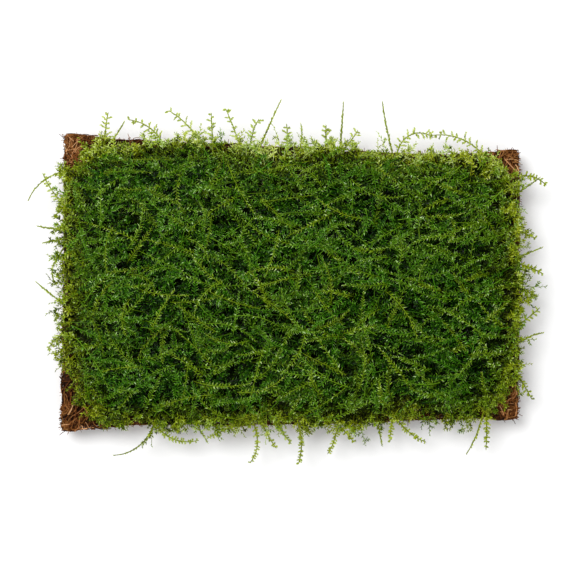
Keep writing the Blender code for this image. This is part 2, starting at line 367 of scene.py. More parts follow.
def add_leaves(cluster, rng, strands, share, size, tone, warmth, habit):
    """Pointed leaves, folded along the midrib, to the left and right and some on top.

    They darken with depth below the canopy's top, as painted shade where less light reaches them.
    """
    place, ahead, up = on_strands(strands, share)
    shape = share.shape
    roll = np.pi * (np.arange(shape[1]) % 2) + rng.normal(0, 0.25, shape)
    topmost = rng.random(shape) < TOP_LEAF_SHARE
    roll = np.where(topmost, np.pi / 2 + rng.normal(0, 0.6, shape), roll)[..., None]
    closing = 1 - LEAF_CLOSING * share**3
    splay = np.radians(habit.splay * closing) + rng.normal(0, 0.12, shape)
    splay = splay[..., None]
    across = np.cross(ahead, up)
    outward = across * np.cos(roll) + up * np.sin(roll)
    along = ahead * np.cos(splay) + outward * np.sin(splay)
    inward = ahead * np.sin(splay) - outward * np.cos(splay)
    facing = 0.9 * up + 0.6 * inward + rng.normal(0, 0.28, place.shape)
    wide = unit(np.cross(along, facing))
    facing = np.cross(wide, along)
    length = LEAF_LENGTH * size * rng.uniform(0.8, 1.2, shape)
    width = LEAF_WIDTH * habit.plump * size * rng.uniform(0.85, 1.15, shape)
    used = PLAIN_LEAF if habit.plain else slice(None)
    outline = LEAF_SHAPE[used]
    points = (
        place[..., None, :]
        + along[..., None, :] * (outline[:, 0] * length[..., None])[..., None]
        + wide[..., None, :] * (outline[:, 1] * width[..., None])[..., None]
        + facing[..., None, :] * (outline[:, 2] * length[..., None])[..., None]
    )
    first = np.arange(shape[0] * shape[1]) * len(outline)
    # Painted shade: the tone falls with depth below the canopy's top
    deep = carpet_top(place[..., 0], place[..., 1]) - place[..., 2]
    shading = habit.shade * np.clip(deep - SHADE_FROM, 0, DEEPEST)
    tones = tone + rng.normal(0, LEAF_TONE_SPREAD, shape) - shading
    tones = tones[..., None] + LEAF_TONES[used] * habit.contrast
    # Painted glints: a share of the tips nearly white
    tones[..., -1] += np.where(rng.random(shape) < GLINT_SHARE, GLINT_TONE, 0)
    warmths = np.clip(warmth + rng.normal(0, 0.05, shape), 0.02, 0.96)
    cluster.add(
        points,
        first[:, None, None] + (PLAIN_LEAF_FACES if habit.plain else LEAF_FACES),
        tones,
        warmths[..., None] + LEAF_WARMTHS[used],
    )


def add_leafy(cluster, rng, strands, leaves, size, tone, warmth, habit, bare=0.0):
    """The stems with evenly spaced leaves from the share called bare to the tips."""
    count = len(strands.points)
    spaced = bare + (1 - bare) * (np.arange(leaves) + 0.6) / leaves
    share = np.clip(spaced + rng.normal(0, 0.15 / leaves, (count, leaves)), 0, 1)
    taper = 1 - LEAF_TAPER * share**4
    add_leaves(
        cluster, rng, strands, share, size[:, None] * taper,
        tone[:, None] + TIP_PALER * (share - 0.6), warmth[:, None], habit,
    )
    # The stems get the same painted shade below the canopy's top
    middle = strands.points.mean(axis=1)
    deep = carpet_top(middle[:, 0], middle[:, 1]) - middle[:, 2]
    add_tubes(
        cluster, strands, np.full(count, habit.stem), np.full(count, habit.stem * STEM_TAPER),
        tone + habit.stem_tone - habit.shade * np.clip(deep, 0, DEEPEST), warmth + STEM_WARMER,
    )


BRANCHLET_BEND = 0.45  # radians that one bends away from its stem's direction
LONGEST_AT = 0.35  # the share of the stem where its branchlets are longest


def branchlets(rng, strands, pairs, length, first, last, angle=55.0, waver=0.25):
    """Short side strands between the shares first and last, to the left and right by turns."""
    count = len(strands.points)
    share = first + (last - first) * (np.arange(pairs) + 0.5) / pairs
    share = np.clip(share + rng.normal(0, waver / pairs, (count, pairs)), 0.02, 0.98)
    place, ahead, up = on_strands(strands, share)
    hand = np.where(np.arange(pairs) % 2, 1.0, -1.0) * rng.choice((-1, 1), (count, 1))
    splay = (np.radians(angle) + rng.normal(0, 0.14, share.shape))[..., None]
    across = np.cross(ahead, up) * hand[..., None]
    heading = unit(ahead * np.cos(splay) + across * np.sin(splay))
    swell = 1 - 0.75 * np.abs(share - LONGEST_AT)
    long = length[:, None] * swell * rng.uniform(0.95 - waver, 0.95 + waver, share.shape)
    lift = rng.normal(0.12, 0.28, share.size)
    return draw_strands(
        place.reshape(-1, 3), heading.reshape(-1, 3), unit(up).reshape(-1, 3),
        long.reshape(-1), (-BRANCHLET_BEND * hand).reshape(-1),
        lift, lift + rng.normal(0, 0.2, share.size), steps=2,
    )


# ---- materials


def new_material(name, roughness, specular):
    made = bpy.data.materials.new(name)
    made.use_nodes = True
    shader = made.node_tree.nodes["Principled BSDF"]
    shader.inputs["Roughness"].default_value = roughness
    shader.inputs["Specular IOR Level"].default_value = specular
    return made, made.node_tree, shader


def ramp(tree, factor, stops):
    """A colour ramp over factor through these (position, linear colour) stops."""
    node = tree.nodes.new("ShaderNodeValToRGB")
    node.color_ramp.elements.remove(node.color_ramp.elements[1])
    node.color_ramp.elements[0].position = stops[0][0]
    node.color_ramp.elements[0].color = (*stops[0][1], 1)
    for position, colour in stops[1:]:
        node.color_ramp.elements.new(position).color = (*colour, 1)
    tree.links.new(factor, node.inputs["Fac"])
    return node.outputs["Color"]


def palette_axes(tree):
    """The tone and the warmth of the place on the palette."""
    place = tree.nodes.new("ShaderNodeUVMap")
    place.uv_map = PALETTE
    split = tree.nodes.new("ShaderNodeSeparateXYZ")
    tree.links.new(place.outputs["UV"], split.inputs["Vector"])
    return split.outputs["X"], split.outputs["Y"]


def blend(tree, factor, one, other):
    node = tree.nodes.new("ShaderNodeMix")
    node.data_type = "RGBA"
    tree.links.new(factor, node.inputs["Factor"])
    tree.links.new(one, node.inputs["A"])
    tree.links.new(other, node.inputs["B"])
    return node.outputs["Result"]


def moss_material(name, roughness, specular):
    """Leaf green from near black, which the painted shade and the thatch reach, to a pale tip for
    the painted glints, cool or warm.
    """
    made, tree, shader = new_material(name, roughness, specular)
    tone, warmth = palette_axes(tree)
    cool = ramp(tree, tone, (
        (0.0, (0.0001, 0.0010, 0.0)), (0.25, (0.0016, 0.018, 0.0)),
        (0.5, (0.013, 0.085, 0.0)), (0.7, (0.052, 0.205, 0.002)),
        (0.88, (0.15, 0.36, 0.022)), (1.0, (0.50, 0.70, 0.36)),
    ))
    warm = ramp(tree, tone, (
        (0.0, (0.004, 0.004, 0.0001)), (0.25, (0.034, 0.040, 0.0003)),
        (0.5, (0.120, 0.145, 0.001)), (0.7, (0.27, 0.33, 0.003)),
        (0.88, (0.43, 0.50, 0.014)), (1.0, (0.68, 0.76, 0.24)),
    ))
    tree.links.new(blend(tree, warmth, cool, warm), shader.inputs["Base Color"])
    return made


def coir_material():
    """Coconut fibre from the dark of the felt, which is painted shade between the fibres, to the
    palest strands, which carry the painted highlights.
    """
    made, tree, shader = new_material("coir", roughness=0.6, specular=0.12)
    tone, warmth = palette_axes(tree)
    brown = ramp(tree, tone, (
        (0.0, (0.008, 0.002, 0.0)), (0.3, (0.055, 0.015, 0.0005)),
        (0.6, (0.18, 0.068, 0.010)), (0.85, (0.40, 0.19, 0.058)), (1.0, (0.70, 0.44, 0.21)),
    ))
    red = ramp(tree, tone, (
        (0.0, (0.010, 0.002, 0.0)), (0.3, (0.070, 0.014, 0.0005)),
        (0.6, (0.22, 0.065, 0.010)), (0.85, (0.44, 0.18, 0.058)), (1.0, (0.74, 0.40, 0.19)),
    ))
    tree.links.new(blend(tree, warmth, brown, red), shader.inputs["Base Color"])
    return made


# ---- the moss


# Steps that spread any number of points evenly over a square: 1/p and 1/p^2, where p^3 = p + 1
EVEN_STEPS = (0.7548776662, 0.5698402910)
SCATTER = 0.6  # millimetres that each point strays from its even place


def scattered(count, seed, inset):
    """Points spread evenly over the carpet, at least inset millimetres inside its edge."""
    rng = np.random.default_rng(seed)
    low, high = CARPET_EDGE.min(axis=0), CARPET_EDGE.max(axis=0)
    index = np.arange(count * 2)
    spread = np.stack([index * step % 1 for step in EVEN_STEPS], axis=1)
    points = low + (high - low) * spread + rng.normal(0, SCATTER, spread.shape)
    inside = np.hypot(*points.T) < reach(CARPET_EDGE, *points.T) - inset
    return points[inside][:count].T


def edge_share(x, y):
    """How near each point is to the carpet's edge: 0 inside, 1 at the edge."""
    gap = reach(CARPET_EDGE, x, y) - np.hypot(x, y)
    return np.clip(1 - gap / EDGE_REACH, 0, 1)


def hollow(x, y):
    """0 on the canopy's crowns, up to 1 in the hollows between them."""
    patches = noise(x, y, 5.2, 11) + 0.5 * noise(x, y, 2.6, 12)
    return np.clip((patches - 0.15) * 1.5, 0, 1)


ALONG_SHARE = 0.25  # of the shoots, which lie more or less along the mat
ROOT_INSET = 1.5  # a root less than this inside the carpet's edge counts as off it


def headings(rng, x, y, length):
    """Mostly any way at all, but outwards where the root would otherwise lie off the carpet."""
    angle = rng.uniform(-np.pi, np.pi, x.shape)
    along = rng.random(x.shape) < ALONG_SHARE
    angle = np.where(along, rng.normal(0, 0.35, x.shape) + np.pi * (angle > 0), angle)
    outward = np.arctan2(y / HALF_WIDTH, x / HALF_LENGTH) + rng.normal(0, 0.45, x.shape)
    root_x = x - np.cos(angle) * length
    root_y = y - np.sin(angle) * length
    off = np.hypot(root_x, root_y) > reach(CARPET_EDGE, root_x, root_y) - ROOT_INSET
    return np.where(off, outward, angle)


TIP_DIP = 0.4  # how far a shoot may lie below its depth at the tip
ROOT_DIP = 2.2  # and how much further at the root
SEAT_CLEARANCE = 0.2


def moss_shoots(rng, x, y, depth, length, pitch_from, pitch_to, steps):
    """Strands through the carpet that end at its top, less depth."""
    count = len(x)
    up = upward(count)
    strands = draw_strands(
        np.zeros((count, 3)), level_heading(headings(rng, x, y, length)), up, length,
        rng.normal(0, 0.6, count), pitch_from, pitch_to, steps,
    )
    tip = np.stack([x, y, carpet_top(x, y) - depth], axis=1)
    points = strands.points - strands.points[:, -1:] + tip[:, None]
    # Over a slope they bend along with it rather than dive under it
    dip = TIP_DIP + ROOT_DIP * (1 - np.linspace(0, 1, steps + 1)) ** 2
    least = carpet_top(points[..., 0], points[..., 1]) - depth[:, None] - dip
    points[..., 2] = np.maximum(points[..., 2], np.maximum(least, CARPET_SEAT + SEAT_CLEARANCE))
    return with_directions(points, up)


CANOPY_TONE = 0.655
EDGE_PALER = 0.125  # than the middle
UPPER_EDGE_PALER = 0.085  # more at the upper edge, and less at the lower
UPPER_PALER = 0.02  # towards the upper edge, and darker towards the lower
# painted shade in the hollows between the canopy's crowns
HOLLOW_DARKER = 0.02
CANOPY_WARMTH = 0.05
EDGE_WARMER = 0.60


def canopy_tone(rng, x, y):
    """Patches of brighter and of darker growth, and each shoot a little off its patch."""
    patch = 0.02 * noise(x, y, 13.0, 21) + 0.03 * noise(x, y, 4.5, 22)
    edge = (EDGE_PALER + UPPER_EDGE_PALER * y / HALF_WIDTH) * edge_share(x, y)
    # The hollows get painted shade
    light = edge - HOLLOW_DARKER * hollow(x, y) + UPPER_PALER * y / HALF_WIDTH
    return CANOPY_TONE + patch + light + rng.normal(0, 0.06, len(x))


def canopy_warmth(rng, x, y):
    patch = 0.08 * noise(x, y, 17.0, 31) + 0.07 * noise(x, y, 6.0, 32)
    edge = EDGE_WARMER * edge_share(x, y)
    return CANOPY_WARMTH + patch + edge + rng.normal(0, 0.08, len(x))


FROND_BRANCHLETS = 4
FROND_LEAVES = 20
FROND_BRANCHLET_LEAVES = 9


def build_fronds(surface):
    """Pinnate shoots that lie in the crown of the canopy, in two pieces."""
    rng = np.random.default_rng(101)
    x, y = scattered(FRONDS, 102, 2.2)
    count = len(x)
    depth = np.abs(rng.normal(0.0, 0.6, count)) + hollow(x, y)
    strands = moss_shoots(
        rng, x, y, depth, rng.uniform(6.0, 11.0, count),
        rng.uniform(0.1, 0.7, count), rng.normal(-0.05, 0.2, count), steps=6,
    )
    tone = canopy_tone(rng, x, y)
    warmth = canopy_warmth(rng, x, y)
    size = rng.uniform(0.85, 1.05, count)
    for number, some in enumerate(np.array_split(np.arange(count), 2), start=1):
        cluster = Cluster()
        chosen = Strands(*(field[some] for field in strands))
        add_leafy(
            cluster, rng, chosen, FROND_LEAVES, size[some], tone[some], warmth[some], CANOPY,
            bare=0.2,
        )
        sides = branchlets(
            rng, chosen, FROND_BRANCHLETS, rng.uniform(2.2, 4.0, len(some)), 0.3, 0.85
        )
        stem = np.repeat(some, FROND_BRANCHLETS)
        add_leafy(
            cluster, rng, sides, FROND_BRANCHLET_LEAVES, size[stem] * 0.9, tone[stem] + 0.02,
            warmth[stem], TWIGS,
        )
        cluster.build(f"moss_fronds_{number}", surface, "moss_carpet")


# The single shoots, layer by layer: the name, how many, the seed, the tips' depth below the
# canopy's top and how it spreads, the steepest root and the tips' pitch in radians, the least and
# the greatest length, the leaves on each, and the habit
LAYERS = (
    ("lower", LOWER_SHOOTS, 111, 3.0, 0.7, 0.8, 0.0, 6.0, 12.0, 22, UNDERGROWTH),
    ("middle", MIDDLE_SHOOTS, 113, 1.3, 0.5, 0.7, 0.0, 6.0, 12.0, 22, UNDERGROWTH),
    ("crown", CROWN_SHOOTS, 115, 0.0, 0.6, 0.6, 0.0, 6.0, 12.0, 20, CANOPY),
    ("upright", UPRIGHT_SHOOTS, 117, 0.1, 0.7, 0.8, 1.2, 4.0, 6.5, 18, CANOPY),
)


def build_layer(
    surface, name, count, seed, depth, spread, steep, tip_pitch, shortest, longest, leaves, habit
):
    """Single leafy shoots whose tips lie about that deep below the canopy's top."""
    rng = np.random.default_rng(seed)
    x, y = scattered(count, seed + 1, 1.2)
    count = len(x)
    depth = depth + np.abs(rng.normal(0, spread, count)) + hollow(x, y)
    length = rng.uniform(shortest, longest, count)
    strands = moss_shoots(
        rng, x, y, depth, length, rng.uniform(0.0, steep, count),
        rng.normal(tip_pitch, 0.2, count), steps=4,
    )
    cluster = Cluster()
    add_leafy(
        cluster, rng, strands, leaves, rng.uniform(0.85, 1.1, count), canopy_tone(rng, x, y),
        canopy_warmth(rng, x, y), habit, bare=0.2,
    )
    cluster.build(f"moss_{name}_shoots", surface, "moss_carpet")


RUNNERS_ALONG = 0.55  # the share that lie more or less along the mat
RUNNER_STEPS = 12
RUNNER_LEAVES = 36
RUNNER_SUNK = 0.5  # millimetres below the canopy's top, from which they rise to their tips
RUNNER_ARCH = 1.3  # millimetres that a runner may rise over the canopy halfway along
RUNNER_DIVE = 2.6  # millimetres that its root goes down
RUNNER_DIVE_SHARE = 0.18  # of its length, over which it does


def build_runners(surface):
    """Long pale shoots that lie over the canopy, a few of them arching off it."""
    rng = np.random.default_rng(121)
    x, y = scattered(RUNNERS, 122, 3.0)
    count = len(x)
    along = rng.random(count) < RUNNERS_ALONG
    angle = np.where(along, rng.choice((0, np.pi), count), rng.uniform(0, 2 * np.pi, count))
    angle = angle + rng.normal(0, 0.4, count)
    length = rng.uniform(9.0, 20.0, count)
    flat = np.zeros(count)
    middle = np.stack([x, y, flat], axis=1)
    strands = draw_strands(
        middle, level_heading(angle), upward(count), length, rng.normal(0, 0.7, count),
        flat, flat, RUNNER_STEPS,
    )
    points = strands.points - strands.points.mean(axis=1, keepdims=True) + middle[:, None]
    keep_within(points, CARPET_EDGE, -1.0)
    share = np.linspace(0, 1, RUNNER_STEPS + 1)
    arch = rng.uniform(0.0, RUNNER_ARCH, count)[:, None] * np.sin(np.pi * share)
    arch = arch + RUNNER_SUNK * share
    dive = RUNNER_DIVE * np.clip(RUNNER_DIVE_SHARE - share, 0, 1) / RUNNER_DIVE_SHARE
    points[..., 2] = carpet_top(points[..., 0], points[..., 1]) - RUNNER_SUNK + arch - dive
    strands = with_directions(points, upward(count))
    cluster = Cluster()
    tone = rng.uniform(0.64, 0.80, count)
    warmth = rng.uniform(0.1, 0.5, count)
    size = rng.uniform(0.85, 1.05, count)
    add_leafy(cluster, rng, strands, RUNNER_LEAVES, size, tone, warmth, CANOPY)
    cluster.build("moss_runners", surface, "moss_carpet")


FRINGE_CLUMPING = 0.55  # how much the fringe's length comes and goes
FRINGE_CLUMP_SIZE = 3.6  # millimetres
NARROW_RIM = 2.8  # where the pad shows less than this past the carpet, the fringe bridges it
FRINGE_TONE = 0.70
FRINGE_PALER = 0.10  # all round, before the three below
FRINGE_UPPER_PALER = 0.11  # at the upper edge, and darker by as much at the lower
FRINGE_END_DARKER = 0.15  # at both ends
FRINGE_RIGHT_PALER = 0.02  # at the right end, and darker by as much at the left
FRINGE_BRANCHLETS = 2


def build_fringe(surface):
    """Short yellow-green shoots that stand out all round the carpet's edge and droop over it."""
    rng = np.random.default_rng(131)
    share = (np.arange(FRINGE_SHOOTS) + rng.uniform(0, 1, FRINGE_SHOOTS)) / FRINGE_SHOOTS
    place, outward = walk(CARPET_EDGE, share)
    count = len(share)
    angle = np.arctan2(outward[:, 1], outward[:, 0]) + rng.normal(0, 0.55, count)
    clumps = 1 + FRINGE_CLUMPING * noise(*place.T, FRINGE_CLUMP_SIZE, 51)
    length = rng.uniform(3.0, 7.4, count) * clumps
    inset = length * rng.uniform(0.2, 1.1, count)
    gap = reach(PAD_EDGE, *place.T) - reach(CARPET_EDGE, *place.T)
    # The right half's fringe bridges only a little of the gap
    bridged = np.where(gap < NARROW_RIM, gap, 0) * np.where(place[:, 0] > 0, 0.2, 1.0)
    length = length + bridged
    base = place - outward * inset[:, None]
    height = CARPET_SEAT + rng.uniform(0.2, 4.6, count)
    start = np.column_stack([base, height])
    strands = draw_strands(
        start, level_heading(angle), upward(count), length, rng.normal(0, 0.4, count),
        rng.uniform(-0.1, 0.6, count), rng.normal(-0.25, 0.3, count), steps=5,
    )
    cluster = Cluster()
    # The lower shoots are painted darker and the higher ones paler, as painted shade under the
    # carpet's edge
    tone = rng.normal(FRINGE_TONE, 0.08, count) + 0.02 * (height - CARPET_SEAT - 2)
    right, above = (place / (HALF_LENGTH, HALF_WIDTH)).T
    tone = tone + FRINGE_PALER + FRINGE_UPPER_PALER * above
    tone = tone - FRINGE_END_DARKER * np.abs(right) + FRINGE_RIGHT_PALER * right
    warmth = np.clip(rng.normal(0.70, 0.18, count), 0.1, 0.92)
    add_leafy(cluster, rng, strands, 12, rng.uniform(0.8, 1.05, count), tone, warmth, FRINGE)
    sides = branchlets(rng, strands, FRINGE_BRANCHLETS, rng.uniform(1.2, 2.4, count), 0.2, 0.8)
    stem = np.repeat(np.arange(count), FRINGE_BRANCHLETS)
    size = np.full(len(stem), 0.85)
    add_leafy(cluster, rng, sides, 5, size, tone[stem] + 0.03, warmth[stem], FRINGE)
    cluster.build("moss_fringe", surface, "moss_carpet")


THATCH_AND_SHADE_HEIGHT = 0.52  # of the carpet's
THATCH_AND_SHADE_INSET = 1.2  # millimetres from the carpet's edge


def build_thatch_and_shade(surface):
    """The matted stems under the canopy, as a rough skin well below its top, painted near black as
    painted shade in the deep gaps.
    """
    rings, sectors = 26, 240
    share = (np.arange(1, rings + 1) / rings) ** 0.8
    angle = 2 * np.pi * np.arange(sectors) / sectors
    radius = reach(CARPET_EDGE, np.cos(angle), np.sin(angle)) - THATCH_AND_SHADE_INSET
    x = share[:, None] * radius * np.cos(angle)
    y = share[:, None] * radius * np.sin(angle)
    top = carpet_top(x, y) - CARPET_SEAT
    rough = 1 + 0.25 * noise(x, y, 1.7, 41) + 0.2 * noise(x, y, 0.9, 42)
    z = CARPET_SEAT + top * THATCH_AND_SHADE_HEIGHT * rough * (1 - share[:, None] ** 12)
    points = np.stack([x, y, z], axis=-1)
    index = np.arange(rings * sectors).reshape(rings, sectors)
    after = np.roll(index, -1, axis=1)
    faces = np.stack([index[:-1], index[1:], after[1:], after[:-1]], axis=-1)
    # Near black over the brown of the matted stems: painted shade in the deep gaps between the
    # shoots
    tone = 0.07 + 0.05 * noise(x, y, 2.1, 43) + 0.002 * (index % 3)
    warmth = 0.45 + 0.25 * noise(x, y, 3.1, 44) + 0.002 * (index % 2)
    cluster = Cluster()
    cluster.add(points, faces, tone, warmth)
    # A fan of triangles closes the middle
    hub = points[0].mean(axis=0)
    fan = np.stack([np.zeros_like(index[0]), index[0] + 1, after[0] + 1], axis=-1)
    spot = np.arange(sectors + 1)
    cluster.add(
        np.concatenate([hub[None], points[0]]), fan,
        0.12 + 0.004 * (spot % 3), 0.45 + 0.004 * (spot % 2),
    )
    cluster.build("moss_thatch_and_shade", surface, "moss_carpet")


# ---- the trailing shoots

# The tone of each side's shoots, and the length and the spacing of their side buds
SIDE_LOOKS = {
    "upper": (0.88, 1.8, 1.05),
    "right": (0.76, 1.1, 0.75),
    "lower": (0.80, 0.75, 0.55),
    "left": (0.85, 1.2, 0.8),
}
SHOOT_STEPS = 12
ROOTED_LENGTH = 3.5  # how far a shoot goes on into the carpet
ROOT_RISE = 0.15  # for each millimetre of that
SCALE_SPACING = 0.45  # between the scales along a stem
BUD_LEAVES = 7
CAD_RINGS = 6  # of a shoot's solid, from the carpet out to its pointed tip
CAD_RING_POINTS = 6
LEAFY_RADIUS = 0.65  # a shoot whose solid is thicker than this has side buds


def hops_from(tip, linked):
    """How many edges each point of a mesh is from its tip, at most CAD_RINGS."""
    hops = np.full(len(linked), CAD_RINGS + 1)
    hops[tip] = 0
    for _ in range(CAD_RINGS):
        hops = np.minimum(hops, np.where(linked, hops, CAD_RINGS + 1).min(axis=1) + 1)
    return hops


def shoot_line(node):
    """The middles of the rings of a shoot's CAD solid, out to its tip, and its greatest radius.

    The tip is the one point from which the rest of the solid is ring after ring of points.
    """
    points, corner = np.unique(node_points(node).round(4), axis=0, return_inverse=True)
    corner = corner.reshape(-1)
    linked = np.zeros((len(points), len(points)), dtype=bool)
    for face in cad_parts[node].data.polygons:
        ends = corner[list(face.vertices)]
        linked[np.ix_(ends, ends)] = True
    for tip in range(len(points)):
        hops = hops_from(tip, linked)
        rings = [points[hops == ring] for ring in range(CAD_RINGS, 0, -1)]
        if all(len(ring) == CAD_RING_POINTS for ring in rings):
            middles = np.array([ring.mean(axis=0) for ring in rings])
            radius = np.linalg.norm(np.array(rings) - middles[:, None], axis=-1).max()
            return np.vstack([middles, points[tip]]), radius
    raise ValueError(f"{node} isn't a shoot with a pointed tip")


def even_line(points, steps):
    """A smooth line through the points, cut into even steps."""
    distance = np.concatenate([[0], np.cumsum(np.linalg.norm(np.diff(points, axis=0), axis=1))])
    slopes = np.gradient(points, distance, axis=0)
    at = np.linspace(0, distance[-1], steps + 1)
    leg = np.clip(np.searchsorted(distance, at, side="right") - 1, 0, len(points) - 2)
    gap = np.diff(distance)[leg][:, None]
    part = (at - distance[leg])[:, None] / gap
    start, end = points[leg], points[leg + 1]
    curve = (2 * part**3 - 3 * part**2 + 1) * start + (3 * part**2 - 2 * part**3) * end
    curve = curve + (part**3 - 2 * part**2 + part) * gap * slopes[leg]
    return curve + (part**3 - part**2) * gap * slopes[leg + 1], distance[-1]


def build_trailing_shoot(node, surface, seed, tone, bud, spacing):
    """One trailing shoot, from inside the carpet out along its CAD solid."""
    rng = np.random.default_rng(seed)
    line, radius = shoot_line(node)
    points, length = even_line(line, SHOOT_STEPS)
    back = (points[0] - points[1]) * (1, 1, 0)
    back = back / np.linalg.norm(back) + ROOT_RISE * UP
    roots = points[0] + back * ROOTED_LENGTH * np.array((1.0, 0.5))[:, None]
    points = np.vstack([roots, points])[None]
    strands = with_directions(points, UP[None])
    cluster = Cluster()
    scales = round((length + ROOTED_LENGTH) / SCALE_SPACING)
    leafy = radius > LEAFY_RADIUS
    tone = np.array([tone + rng.uniform(-0.04, 0.04)])
    warmth = np.array([rng.uniform(0.76, 0.88)])
    size = np.array([0.6 if leafy else 0.75])
    add_leafy(cluster, rng, strands, scales, size, tone, warmth, SCALES)
    if leafy:
        count = round((length + 2) / spacing)
        sides = branchlets(rng, strands, count, np.array([bud]), 0.15, 0.98, 48.0, waver=0.5)
        size = np.full(count, 0.44 + 0.1 * bud)
        add_leafy(
            cluster, rng, sides, BUD_LEAVES, size, np.full(count, tone[0] + 0.02),
            np.full(count, warmth[0]), BUDS,
        )
    cluster.build(f"{node}_moss", surface, node)


def build_trailing_shoots(surface):
    nodes = sorted(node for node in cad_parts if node.startswith("shoot_"))
    for seed, node in enumerate(nodes, start=200):
        side = node.split("_")[1]
        build_trailing_shoot(node, surface, seed, *SIDE_LOOKS[side])


# ---- the coir pad


# The longer loose fibres: where each starts, the way it heads, its length, bend, radius and tone
LOOSE_FIBRES = (
    (-62.8, -22.8, 5.5, 145, 3.6, 8, 0.10, 0.35),
    (-62.4, -29.4, 6.0, 131, 4.4, -4, 0.27, 0.22),
    (-62.8, -34.0, 5.0, 218, 3.6, 6, 0.09, 0.62),
    (-62.6, -38.4, 4.0, 228, 2.4, 10, 0.09, 0.50),
    (-62.6, -30.8, 5.0, 250, 2.4, -10, 0.09, 0.60),
    (56.6, 33.2, 7.6, 84, 3.6, 28, 0.16, 0.82),
    (58.2, 32.6, 7.8, 95, 4.8, -30, 0.16, 0.80),
    (60.0, 35.2, 7.6, -50, 4.6, 4, 0.18, 0.90),
    (57.2, 36.4, 7.4, 140, 2.8, 0, 0.10, 0.60),
    (58.0, 36.6, 7.2, 88, 2.4, 6, 0.12, 0.40),
    (53.6, 34.8, 7.4, 78, 2.8, 14, 0.12, 0.55),
    (60.8, 37.0, 7.3, 160, 3.4, 14, 0.13, 0.70),
    (57.6, 29.6, 9.4, 8, 2.6, 16, 0.14, 0.92),
    (54.8, 33.6, 8.2, -60, 3.2, 20, 0.13, 0.75),
)


def on_pad(share, height):
    """Points on the pad's skin, and the ways out. Above its top the height runs on inwards."""
    place, outward = walk(PAD_EDGE, share)
    inset = np.maximum(height - PAD_TOP, 0)
    z = np.minimum(height, PAD_TOP)
    return np.concatenate([place - outward * inset[..., None], z[..., None]], axis=-1), outward


def smooth_points(points):
    middle = (points[:, :-2] + 2 * points[:, 1:-1] + points[:, 2:]) / 4
    return np.concatenate([points[:, :1], middle, points[:, -1:]], axis=1)


FIBRE_TAPER = 0.6


def add_fibres(cluster, rng, strands, thick, tone):
    """Tubes of any warmth round the strands."""
    warmth = rng.uniform(0.1, 0.9, len(thick))
    add_tubes(cluster, strands, thick, thick * FIBRE_TAPER, tone, warmth)


SIDE_SHARE = 0.6  # of the edge fibres, which start on the pad's sides; the rest lie on its rim
RIM_DEPTH = 8.0  # millimetres inwards that those are spread over
TURN_BACK = 0.15  # the height below which a fibre turns up again
SUNK = 0.12  # millimetres that unfrayed fibres lie inside the pad's skin on average
FRAY = 0.6  # millimetres that the most frayed stretches of the sides stand out
FRAY_SIZE = 7.0
RIM_DARKER = 0.22  # the fibres that start near the pad's top or on it, as painted shade under the corner fibres and the moss


def build_edge_fibres(surface):
    """Fibres felted over the pad's sides and the rim of its top."""
    rng = np.random.default_rng(301)
    count, steps = EDGE_FIBRES, 8
    edge_length = np.hypot(*np.diff(PAD_EDGE, axis=0).T).sum()
    share = rng.uniform(0, 1, count)
    height = np.where(
        rng.random(count) < SIDE_SHARE, rng.uniform(0.2, PAD_TOP, count),
        rng.uniform(PAD_TOP, PAD_TOP + RIM_DEPTH, count),
    )
    length = rng.uniform(3, 11, count)
    angle = np.where(height < PAD_TOP, rng.normal(0, 0.5, count), rng.uniform(0, np.pi, count))
    swing = rng.normal(0, 1.1, count)
    at = np.linspace(-0.5, 0.5, steps + 1)
    way = angle[:, None] + swing[:, None] * at + 0.35 * np.sin(9 * at + share[:, None] * 60)
    along = np.cumsum(np.cos(way), axis=1) * (length / steps)[:, None]
    climb = np.cumsum(np.sin(way), axis=1) * (length / steps)[:, None]
    along = along - along[:, steps // 2, None]
    climb = climb - climb[:, steps // 2, None]
    levels = height[:, None] + climb
    levels = np.where(levels < TURN_BACK, 2 * TURN_BACK - levels, levels)
    points, outward = on_pad(share[:, None] + along / edge_length, levels)
    stand = 0.10 * rng.normal(0, 1, (count, 1)) + 0.12 * rng.normal(0, 1, (count, steps + 1))
    side = (levels < PAD_TOP)[..., None]
    push = np.concatenate([outward, np.zeros_like(outward[..., :1])], axis=-1)
    fray = FRAY * np.clip(noise(points[..., 0], points[..., 1], FRAY_SIZE, 52), 0, 1)
    off = stand - SUNK + np.where(side[..., 0], fray, 0)
    points = smooth_points(points + np.where(side, push, UP) * off[..., None])
    points[..., 2] = np.maximum(points[..., 2], 0.2)
    strands = with_directions(points, upward(count) + 0.3)
    cluster = Cluster()
    # The fibres that stand out are painted paler and the sunk ones darker, as painted light and
    # shade
    tone = rng.normal(0.46, 0.16, count) + 1.2 * stand[:, 0]
    tone = np.clip(tone - RIM_DARKER * (height > PAD_TOP - 1.5), 0.05, 0.97)
    add_fibres(cluster, rng, strands, rng.uniform(0.10, 0.20, count), tone)
    cluster.build("coir_fibres", surface, "coir_pad")


def build_flat_fibres(name, surface, seed, x, y, z, way, length, thick, tone):
    """Fibres that lie level along their way, each near its own point."""
    rng = np.random.default_rng(seed)
    count = len(x)
    flat = np.zeros(count)
    strands = draw_strands(
        np.zeros((count, 3)), level_heading(way), upward(count), length,
        rng.normal(0, 0.9, count), flat, flat, steps=5,
    )
    points = strands.points - strands.points.mean(axis=1, keepdims=True)
    points = points + np.stack([x, y, z], axis=1)[:, None]
    keep_within(points, PAD_EDGE, rng.uniform(-0.5, 0.9, (count, 1)))
    cluster = Cluster()
    add_fibres(cluster, rng, with_directions(points, upward(count)), thick, tone)
    cluster.build(name, surface, "coir_pad")


# The pad's corners in turn from the upper left, and the share of the corner fibres on each
CORNER_WAYS = ((-1, 1), (1, 1), (1, -1), (-1, -1))
CORNER_SHARES = (0.36, 0.22, 0.22, 0.20)
CORNER_SPREAD = (4.5, 6.0)  # millimetres along the mat and across it
